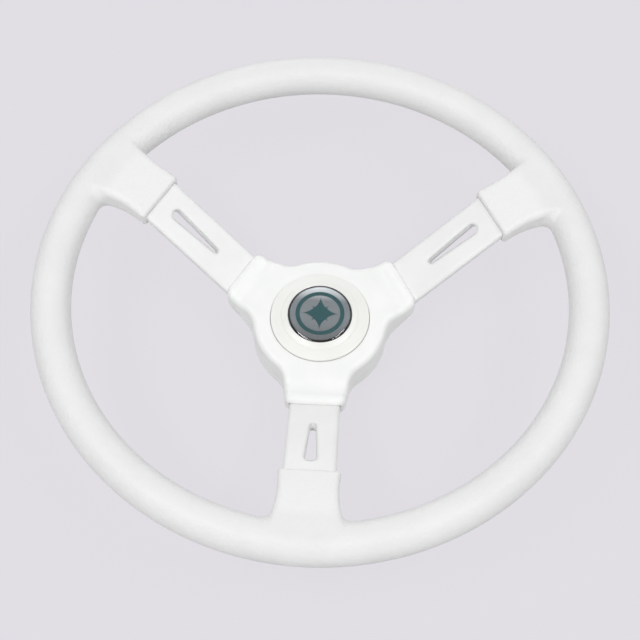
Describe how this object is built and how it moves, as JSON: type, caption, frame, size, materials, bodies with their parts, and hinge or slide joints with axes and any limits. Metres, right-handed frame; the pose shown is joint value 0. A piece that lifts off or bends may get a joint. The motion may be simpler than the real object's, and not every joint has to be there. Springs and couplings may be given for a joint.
{
  "type": "boat steering wheel",
  "caption": "White three-spoke dished boat steering wheel with a soft moulded rim, slotted bent spokes, a tapered keyed hub and a snap-in cap with a plain silver badge.",
  "frame": {"origin": "middle of the hub's back face, on the shaft's axis", "axes": "+Z along the shaft towards the helmsman; one spoke points along -Y; the other two at 30 and 150 degrees from +X"},
  "size_m": [0.35, 0.35, 0.0862],
  "materials": {
    "bare_metal": "satin",
    "painted_spokes": "satin",
    "soft_grip": "fine leather grain, satin",
    "screw_steel": "satin",
    "white_cover": "satin",
    "cream_cap": "satin gloss",
    "silver_badge": "satin silver",
    "clear_dome": "gloss"
  },
  "bodies": {
    "root": {"rim_core": "bare_metal", "spoke_plate": "painted_spokes", "rim_grip": "soft_grip", "hub_boss": "bare_metal", "hub_screws": "screw_steel", "front_cover": "white_cover", "rear_cover": "white_cover", "cover_screws": "screw_steel", "cap_body": "cream_cap", "badge_disc": "silver_badge", "badge_lens": "clear_dome"}
  },
  "joints": []
}
